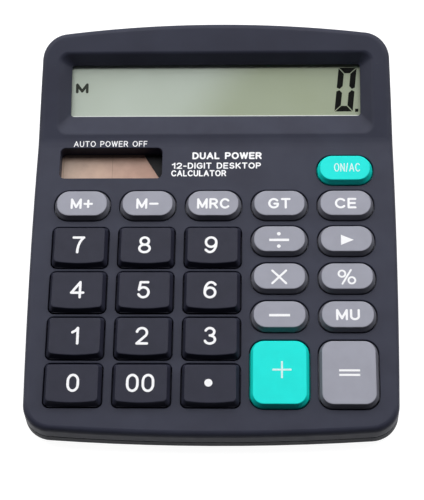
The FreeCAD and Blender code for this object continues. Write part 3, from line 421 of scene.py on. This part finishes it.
# Letters are drawn as strokes of an even width with round ends, from 0 to 1 in height. Each has its width
# and then its strokes. An item of a stroke is a point, or an arc: its centre, its two radii and the angles
# where it starts and ends.
letters = {
    "0": (0.66, [[(0.66, 0.60), (0.33, 0.62, 0.33, 0.38, 0, 180), (0.33, 0.38, 0.33, 0.38, 180, 360),
                  (0.66, 0.60)]]),
    "1": (0.36, [[(0.0, 0.72), (0.2, 0.82), (0.36, 1.0)], [(0.36, 1.0), (0.36, 0.0)]]),
    "2": (0.70, [[(0.35, 0.70, 0.33, 0.30, 168, -38), (0.02, 0.0), (0.70, 0.0)]]),
    "3": (0.68, [[(0.34, 0.76, 0.29, 0.24, 160, -90)], [(0.34, 0.26, 0.34, 0.26, 90, -160)]]),
    "4": (0.80, [[(0.58, 0.0), (0.58, 1.0), (0.0, 0.30), (0.80, 0.30)]]),
    "5": (0.69, [[(0.64, 1.0), (0.14, 1.0), (0.05, 0.50)], [(0.34, 0.33, 0.35, 0.33, 148, -155)]]),
    "6": (0.70, [[(0.35, 0.32, 0.35, 0.32, 0, 360)], [(0.42, 0.38, 0.42, 0.62, 190, 48)]]),
    "7": (0.70, [[(0.0, 1.0), (0.70, 1.0)], [(1.0, 0.0, 0.72, 1.1, 115, 180)]]),
    "8": (0.70, [[(0.35, 0.755, 0.28, 0.245, 0, 360)], [(0.35, 0.26, 0.35, 0.26, 0, 360)]]),
    "9": (0.70, [[(0.35, 0.68, 0.35, 0.32, 0, 360)], [(0.28, 0.62, 0.42, 0.62, 10, -132)]]),
    "A": (0.76, [[(0.0, 0.0), (0.38, 1.0), (0.76, 0.0)], [(0.14, 0.34), (0.62, 0.34)]]),
    "C": (0.72, [[(0.40, 0.5, 0.40, 0.5, 42, 318)]]),
    "D": (0.68, [[(0.28, 0.5, 0.40, 0.5, -90, 90), (0.0, 1.0), (0.0, 0.0), (0.28, 0.0)]]),
    "E": (0.58, [[(0.58, 1.0), (0.0, 1.0), (0.0, 0.0), (0.58, 0.0)], [(0.0, 0.52), (0.52, 0.52)]]),
    "F": (0.54, [[(0.54, 1.0), (0.0, 1.0), (0.0, 0.0)], [(0.0, 0.5), (0.47, 0.5)]]),
    "G": (0.76, [[(0.40, 0.5, 0.40, 0.5, 42, 325), (0.76, 0.46), (0.46, 0.46)]]),
    "I": (0.0, [[(0.0, 0.0), (0.0, 1.0)]]),
    "K": (0.64, [[(0.0, 0.0), (0.0, 1.0)], [(0.60, 1.0), (0.0, 0.36)], [(0.20, 0.57), (0.64, 0.0)]]),
    "L": (0.50, [[(0.0, 1.0), (0.0, 0.0), (0.50, 0.0)]]),
    "M": (0.80, [[(0.0, 0.0), (0.0, 1.0), (0.40, 0.10), (0.80, 1.0), (0.80, 0.0)]]),
    "N": (0.64, [[(0.0, 0.0), (0.0, 1.0), (0.64, 0.0), (0.64, 1.0)]]),
    "O": (0.80, [[(0.40, 0.5, 0.40, 0.5, 0, 360)]]),
    "P": (0.60, [[(0.0, 0.0), (0.0, 1.0), (0.34, 1.0)], [(0.34, 0.73, 0.26, 0.27, 90, -90), (0.0, 0.46)]]),
    "R": (0.64, [[(0.0, 0.0), (0.0, 1.0), (0.34, 1.0)], [(0.34, 0.74, 0.27, 0.26, 90, -90), (0.0, 0.48)],
                 [(0.34, 0.48), (0.64, 0.0)]]),
    "S": (0.62, [[(0.31, 0.75, 0.28, 0.25, 28, 270)], [(0.31, 0.25, 0.31, 0.25, 90, -152)]]),
    "T": (0.66, [[(0.0, 1.0), (0.66, 1.0)], [(0.33, 1.0), (0.33, 0.0)]]),
    "U": (0.64, [[(0.0, 1.0), (0.32, 0.33, 0.32, 0.33, 180, 360), (0.64, 1.0)]]),
    "W": (0.98, [[(0.0, 1.0), (0.24, 0.0), (0.49, 1.0), (0.74, 0.0), (0.98, 1.0)]]),
    "/": (0.30, [[(0.0, -0.04), (0.30, 1.04)]]),
    "-": (0.36, [[(0.0, 0.42), (0.36, 0.42)]]),
    "+": (0.66, [[(0.0, 0.48), (0.66, 0.48)], [(0.33, 0.86), (0.33, 0.10)]]),
    "_": (0.66, [[(0.0, 0.48), (0.66, 0.48)]]),
    "%": (0.92, [[(0.20, 0.73, 0.18, 0.23, 0, 360)], [(0.72, 0.25, 0.18, 0.23, 0, 360)],
                 [(0.68, 1.0), (0.22, 0.0)]]),
    " ": (0.30, []),
}
lettering = {
    "gap": 0.36, "across": 0.92,  # between letters, and how wide they are drawn where no width is given
    "arcStep": 14, "dotSides": 18,  # degrees between an arc's points, and the sides of a stroke's round end
}


def arcPoints(centreX, centreY, radiusX, radiusY, start, end):
    count = max(2, round(abs(end - start) / lettering["arcStep"]))
    turns = [math.radians(start + (end - start) * i / count) for i in range(count + 1)]
    return [(centreX + radiusX * math.cos(t), centreY + radiusY * math.sin(t)) for t in turns]


def runsOf(stroke):
    # a stroke as smooth runs of points: each arc is one, and so is each straight between two points
    runs, last = [], None
    for item in stroke:
        points = [item] if len(item) == 2 else arcPoints(*item)
        if last is not None:
            runs.append([last, points[0]])
        if len(points) > 1:
            runs.append(points)
        last = points[-1]
    return runs


def roundSpot(x, y, radius, sides=lettering["dotSides"]):
    turns = [2 * math.pi * i / sides for i in range(sides)]
    return [(x + radius * math.cos(t), y + radius * math.sin(t)) for t in turns]


def ribbon(points, width):
    # four-cornered tiles along a run, with round ends
    ring = math.dist(points[0], points[-1]) < 1e-9
    sides = []
    for i, point in enumerate(points):
        before = points[i - 1] if i else (points[-2] if ring else point)
        after = points[i + 1] if i < len(points) - 1 else (points[1] if ring else point)
        run = Vector((after[0] - before[0], after[1] - before[1])).normalized() * width / 2
        sides.append(((point[0] - run.y, point[1] + run.x), (point[0] + run.y, point[1] - run.x)))
    tiles = [[a[1], b[1], b[0], a[0]] for a, b in zip(sides, sides[1:])]
    return tiles if ring else tiles + [roundSpot(*points[0], width / 2), roundSpot(*points[-1], width / 2)]


def textTiles(text, tall, stroke, wide=None):
    # tiles of a line of text about its own middle, fitted to a whole width if one is given
    rise = tall - stroke
    total = sum(letters[c][0] for c in text) + lettering["gap"] * (len(text) - 1)
    across = rise * lettering["across"] if wide is None else (wide - stroke) / total
    start, tiles = -total / 2, []
    for c in text:
        width, strokes = letters[c]
        for line in strokes:
            for run in runsOf(line):
                placed = [((start + x) * across, (y - 0.5) * rise) for x, y in run]
                tiles += ribbon(placed, stroke)
        start += width + lettering["gap"]
    return tiles


def bar(x, y, wide, tall):
    left, right, low, high = x - wide / 2, x + wide / 2, y - tall / 2, y + tall / 2
    return [(left, low), (right, low), (right, high), (left, high)]


surfaces = {}  # each printed part's faces, looked up once


def surfaceOf(part):
    if part not in surfaces:
        mesh = nodes[part].data
        corners, faces = [v.co for v in mesh.vertices], [p.vertices for p in mesh.polygons]
        surfaces[part] = BVHTree.FromPolygons(corners, faces)
    return surfaces[part]


dropFrom = 8  # a print is dropped on its part from this high above its middle


def printOn(name, tiles, part, middle, axes, finish, body, slot, proud=0.03, sunk=0.05):
    # joins the tiles into one outline, lays it on the part's surface and gives it a thickness
    corners, faces = [], []
    for tile in tiles:
        turns = sum(a[0] * b[1] - b[0] * a[1] for a, b in zip(tile, tile[1:] + tile[:1]))
        tile = tile if turns > 0 else tile[::-1]
        faces.append(list(range(len(corners), len(corners) + len(tile))))
        corners += [Vector(p) for p in tile]
    joined = delaunay_2d_cdt(corners, [], faces, 1, 1e-4)
    right, rise, out = axes
    tree = surfaceOf(part)
    shape = bmesh.new()
    feet = []
    for x, y in joined[0]:
        over = middle + (right * x + rise * y + out * dropFrom) * mm
        hit = tree.ray_cast(over, -out)[0]
        if hit is None:
            raise RuntimeError(f"{name} runs off {part}")
        feet.append(shape.verts.new(hit - out * sunk * mm))
    for face, cameFrom in zip(joined[2], joined[5]):
        if cameFrom:  # a letter's hole comes from no tile
            shape.faces.new([feet[i] for i in face])
    bmesh.ops.delete(shape, geom=[v for v in shape.verts if not v.link_faces], context="VERTS")
    lifted = bmesh.ops.extrude_face_region(shape, geom=shape.faces[:])
    tops = [g for g in lifted["geom"] if isinstance(g, bmesh.types.BMVert)]
    bmesh.ops.translate(shape, verts=tops, vec=out * (proud + sunk) * mm)
    bmesh.ops.recalc_face_normals(shape, faces=shape.faces[:])
    mesh = bpy.data.meshes.new(name)
    shape.to_mesh(mesh)
    shape.free()
    piece = bpy.data.objects.new(name, mesh)
    bpy.context.scene.collection.objects.link(piece)
    mesh.materials.append(finish)
    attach(piece, body)


def topMiddle(part, axes):
    # middle of a part seen square to a slope, at the height of its highest point
    right, rise, out = axes
    spots = [v.co for v in nodes[part].data.vertices]
    across = [p.dot(right) for p in spots]
    along = [p.dot(rise) for p in spots]
    high = max(p.dot(out) for p in spots)
    return right * (min(across) + max(across)) / 2 + rise * (min(along) + max(along)) / 2 + out * high


numberPrint = {"tall": 6.0, "stroke": 0.82, "rise": 0.2}
numberLegends = {  # digits, and how far right of the key's middle they sit
    "seven": ("7", -0.35), "eight": ("8", -0.45), "nine": ("9", -0.5), "four": ("4", 0.05),
    "five": ("5", -0.3), "six": ("6", -0.6), "one": ("1", 0.05), "two": ("2", -0.3), "three": ("3", -0.4),
    "zero": ("0", 0.2), "double_zero": ("00", -0.3),
}
wordPrint = {"tall": 3.8, "stroke": 0.74, "shift": (0.0, -0.15)}
wordLegends = {  # text and its whole width
    "m_plus": ("M+", 7.3), "m_minus": ("M_", 7.3), "mrc": ("MRC", 10.6), "gt": ("GT", 7.3),
    "ce": ("CE", 7.0), "mu": ("MU", 7.5),
}
percentPrint = {"text": "%", "wide": 6.1, "tall": 5.4, "stroke": 0.62, "shift": (-0.1, -0.3)}
powerPrint = {"text": "ON/AC", "wide": 8.5, "tall": 3.1, "stroke": 0.34, "shift": (0.7, 0.1)}
signPrint = {  # each shift is right of the key's middle and up the deck
    "divide": {"wide": 6.4, "thick": 0.85, "dot": 0.62, "dotAt": (-0.1, 2.2), "shift": (-0.1, -0.45)},
    "correct": {"left": -2.0, "tip": 2.1, "half": 1.8, "shift": (0.25, -0.45)},
    "times": {"reach": 2.2, "thick": 0.7, "shift": (-0.1, -0.3)},
    "minus": {"wide": 6.6, "thick": 0.85, "shift": (0.0, -0.35)},
    "plus": {"wide": 5.9, "tall": 5.6, "thick": 0.6, "shift": (0.7, 0.85)},
    "equals": {"wide": 6.5, "thick": 0.68, "apart": 1.5, "shift": (0.15, -0.1)},
    "point": {"radius": 1.25, "sides": 28, "shift": (-0.6, 0.3)},
}


def signTiles(kind, sign):
    if kind == "divide":
        dotX, dotY = sign["dotAt"]
        dots = [roundSpot(dotX, dotY, sign["dot"]), roundSpot(dotX, -dotY, sign["dot"])]
        return [bar(0, 0, sign["wide"], sign["thick"])] + dots
    if kind == "correct":
        return [[(sign["left"], -sign["half"]), (sign["tip"], 0.0), (sign["left"], sign["half"])]]
    if kind == "times":
        reach = sign["reach"]
        rising, falling = [(-reach, -reach), (reach, reach)], [(-reach, reach), (reach, -reach)]
        return ribbon(rising, sign["thick"]) + ribbon(falling, sign["thick"])
    if kind == "minus":
        return [bar(0, 0, sign["wide"], sign["thick"])]
    if kind == "plus":
        return [bar(0, 0, sign["wide"], sign["thick"]), bar(0, 0, sign["thick"], sign["tall"])]
    if kind == "equals":
        return [bar(0, sign["apart"] / 2 * side, sign["wide"], sign["thick"]) for side in (1, -1)]
    return [roundSpot(0, 0, sign["radius"], sign["sides"])]


def printLegend(key, tiles, shift, ink=whiteInk):
    part = "key_" + key
    right, rise, out = deck
    middle = topMiddle(part, deck) + (right * shift[0] + rise * shift[1]) * mm
    kind = "dark_key_plastic" if key in numberLegends or key == "point" else "grey_key_plastic"
    kind = "green_key_plastic" if key in ("on_ac", "plus") else kind
    printOn("legend_" + key, tiles, part, middle, deck, ink, "cap_" + key, kind)


for key, (text, shift) in numberLegends.items():
    tiles = textTiles(text, numberPrint["tall"], numberPrint["stroke"])
    printLegend(key, tiles, (shift, numberPrint["rise"]))
for key, (text, wide) in wordLegends.items():
    tiles = textTiles(text, wordPrint["tall"], wordPrint["stroke"], wide)
    printLegend(key, tiles, wordPrint["shift"])
for key, sign in signPrint.items():
    printLegend(key, signTiles(key, sign), sign["shift"], paleInk if key == "plus" else whiteInk)
for key, line, ink in (("on_ac", powerPrint, paleInk), ("percent", percentPrint, whiteInk)):
    tiles = textTiles(line["text"], line["tall"], line["stroke"], line["wide"])
    printLegend(key, tiles, line["shift"], ink)
print("key legends printed")

casePrint = [  # each line's middle is right of the solar cell's middle and up the deck
    {"name": "print_power_off", "text": "AUTO POWER OFF", "at": (-0.4, 7.1), "wide": 24.6, "tall": 2.1,
     "stroke": 0.30},
    {"name": "print_two_way", "text": "DUAL POWER", "at": (38.5, 2.6), "wide": 23.0, "tall": 2.6,
     "stroke": 0.58},
    {"name": "print_digits", "text": "12-DIGIT DESKTOP", "at": (35.0, -1.1), "wide": 29.5, "tall": 2.3,
     "stroke": 0.44},
    {"name": "print_calculator", "text": "CALCULATOR", "at": (29.2, -3.9), "wide": 18.2, "tall": 2.3,
     "stroke": 0.44},
]
casePrintThickness = {"proud": 0.02, "sunk": 0.03}
cellMiddle = topMiddle("solar_cell", deck)
cellDepth = 6  # the deck is less than this above the cell
right, rise, out = deck
for line in casePrint:
    spot = cellMiddle + (right * line["at"][0] + rise * line["at"][1] + out * cellDepth) * mm
    tiles = textTiles(line["text"], line["tall"], line["stroke"], line["wide"])
    printOn(line["name"], tiles, "upper_case", spot, deck, whiteInk, "case", "case_plastic",
            **casePrintThickness)
print("case printed")

solarPaintedShadow = {  # painted shadow: a black plate over the cell's slanted right end, where the recess's corner casts shade; the corners are from the cell's middle
    "corners": [(10.6, 5.4), (16.8, 5.4), (16.8, -3.4), (15.9, -3.4)], "proud": 0.3, "sunk": 0.02,
}
printOn("solar_painted_shadow", [solarPaintedShadow["corners"]], "solar_cell", cellMiddle, deck, paintedShadowPlastic, "case",
        "black_plastic", solarPaintedShadow["proud"], solarPaintedShadow["sunk"])
print("solar cell masked")

digit = {  # the nought and its point; "at" is from the film's middle
    "tall": 15.4, "wide": 6.1, "bar": 1.95, "gap": 0.2, "lean": 0.10, "at": (43.9, 0.55),
    "dot": 1.1, "dotRight": 0.6, "dotUp": 0.4,
}
memory = {"text": "M", "wide": 4.3, "tall": 3.5, "stroke": 0.92, "at": (-45.3, 1.4)}
lensLip = {  # painted highlight: a pale bar along the window's front edge, standing in for the light its cut face catches
    "wide": 96.4, "thick": 0.3, "below": 8.85, "proud": 0.04, "sunk": 0.02,
}


def segmentTiles(shape):
    # the six bars of a leaning nought, with pointed ends
    half, rise, thick, gap = shape["wide"] / 2, shape["tall"] / 2, shape["bar"], shape["gap"]
    inX, inY = half - thick, rise - thick
    tiles = []
    for side in (-1, 1):
        level = [(-half + gap, rise * side), (half - gap, rise * side), (inX - gap, inY * side),
                 (-inX + gap, inY * side)]
        tiles.append(level)
        for end in (-1, 1):
            tiles.append([(half * side, (rise - gap) * end), (inX * side, (inY - gap) * end),
                          (inX * side, (gap + thick / 2) * end), ((half - thick / 2) * side, gap * end),
                          (half * side, (gap + thick * 0.25) * end)])
    return [[(x + y * shape["lean"], y) for x, y in tile] for tile in tiles]


def showOnDisplay(name, tiles, middle, finish):
    printOn(name, tiles, "lcd_front_film", middle, display, finish, "case", "polariser_film", sunk=0.02)


filmMiddle = topMiddle("lcd_front_film", display)
right, rise, out = display
digitSpot = filmMiddle + (right * digit["at"][0] + rise * digit["at"][1]) * mm
dotRight, dotUp = digit["wide"] / 2 + digit["dotRight"], digit["dotUp"] - digit["tall"] / 2
dotSpot = digitSpot + (right * dotRight + rise * dotUp) * mm
memorySpot = filmMiddle + (right * memory["at"][0] + rise * memory["at"][1]) * mm
showOnDisplay("segments_nought", segmentTiles(digit), digitSpot, segmentInk)
showOnDisplay("segments_point", [bar(0, 0, digit["dot"], digit["dot"])], dotSpot, segmentInk)
memoryTiles = textTiles(memory["text"], memory["tall"], memory["stroke"], memory["wide"])
showOnDisplay("segments_memory", memoryTiles, memorySpot, markInk)
lensHighlightTiles = [bar(0, -lensLip["below"], lensLip["wide"], lensLip["thick"])]
printOn("lens_lip", lensHighlightTiles, "display_lens", topMiddle("display_lens", display), display, lensHighlightFinish, "case",
        "clear_lens", lensLip["proud"], lensLip["sunk"])
print("display filled in")

cameraLook = {"place": (0.020286, -0.283596, 0.453801), "turn": (32.2808, 1.9582, 1.1763), "lens": 114.98}
camera = bpy.data.objects.new("camera", bpy.data.cameras.new("camera"))
camera.location = cameraLook["place"]
camera.rotation_euler = [math.radians(a) for a in cameraLook["turn"]]
camera.data.lens = cameraLook["lens"]
camera.data.sensor_width = 36
camera.data.clip_start = 0.01
bpy.context.scene.collection.objects.link(camera)
bpy.context.scene.camera = camera

floorLook = {  # a light table, a hair under the feet
    "half": 2.5, "under": 0.02 * mm, "colour": (0.30, 0.30, 0.30, 1), "tone": (0.28, 0.28, 0.285, 1),
    "glow": 0.95, "patch": 0.2,
}


def layFloor():
    shape = bmesh.new()
    corners = [(-1, -1), (1, -1), (1, 1), (-1, 1)]
    half, low = floorLook["half"], -floorLook["under"]
    shape.faces.new([shape.verts.new((x * half, y * half, low)) for x, y in corners])
    mesh = bpy.data.meshes.new("floor")
    shape.to_mesh(mesh)
    shape.free()
    floor = bpy.data.objects.new("floor", mesh)
    bpy.context.scene.collection.objects.link(floor)
    paper = Finish("floorPaper")
    clouds = paper.between(paper.noise(floorLook["patch"]), 0.3, 0.7, 0.0, 1.0)
    colour = paper.blendColours(clouds, floorLook["colour"], floorLook["tone"])
    paper.surface(Base_Color=colour, Roughness=0.9, Specular_IOR_Level=0.1, Emission_Color=(1, 1, 1, 1),
                  Emission_Strength=floorLook["glow"])
    mesh.materials.append(paper.material)
    floor.visible_diffuse = False  # the table's glow stays off the sides, and only their gloss shows it


layFloor()

lights = {
    "ceilingPanel": {"at": (0.0, 1.52, 1.80), "aim": (0.0, 1.52, 0.0), "size": (12.0, 2.8), "power": 303.0},
}


def hangLight(name, light):
    lamp = bpy.data.lights.new(name, "AREA")
    lamp.shape = "RECTANGLE"
    lamp.size, lamp.size_y = light["size"]
    lamp.energy = light["power"]
    holder = bpy.data.objects.new(name, lamp)
    holder.location = light["at"]
    holder.rotation_euler = (Vector(light["aim"]) - Vector(light["at"])).to_track_quat("-Z", "Y").to_euler()
    bpy.context.scene.collection.objects.link(holder)


for name, light in lights.items():
    hangLight(name, light)

worldLook = {"glow": (0.027, 0.027, 0.031, 1), "seen": (1.0, 1.0, 1.0, 1)}


def paintWorld():
    # a dim room that looks as pale as the floor
    world = bpy.data.worlds.new("studio")
    world.use_nodes = True
    bpy.context.scene.world = world
    sky = world.node_tree
    sky.nodes.clear()
    dim, pale = sky.nodes.new("ShaderNodeBackground"), sky.nodes.new("ShaderNodeBackground")
    dim.inputs["Color"].default_value = worldLook["glow"]
    pale.inputs["Color"].default_value = worldLook["seen"]
    rays, either = sky.nodes.new("ShaderNodeLightPath"), sky.nodes.new("ShaderNodeMixShader")
    sky.links.new(rays.outputs["Is Camera Ray"], either.inputs[0])
    sky.links.new(dim.outputs[0], either.inputs[1])
    sky.links.new(pale.outputs[0], either.inputs[2])
    sky.links.new(either.outputs[0], sky.nodes.new("ShaderNodeOutputWorld").inputs["Surface"])


paintWorld()
bpy.context.scene.view_settings.view_transform = "Standard"
print("studio set")
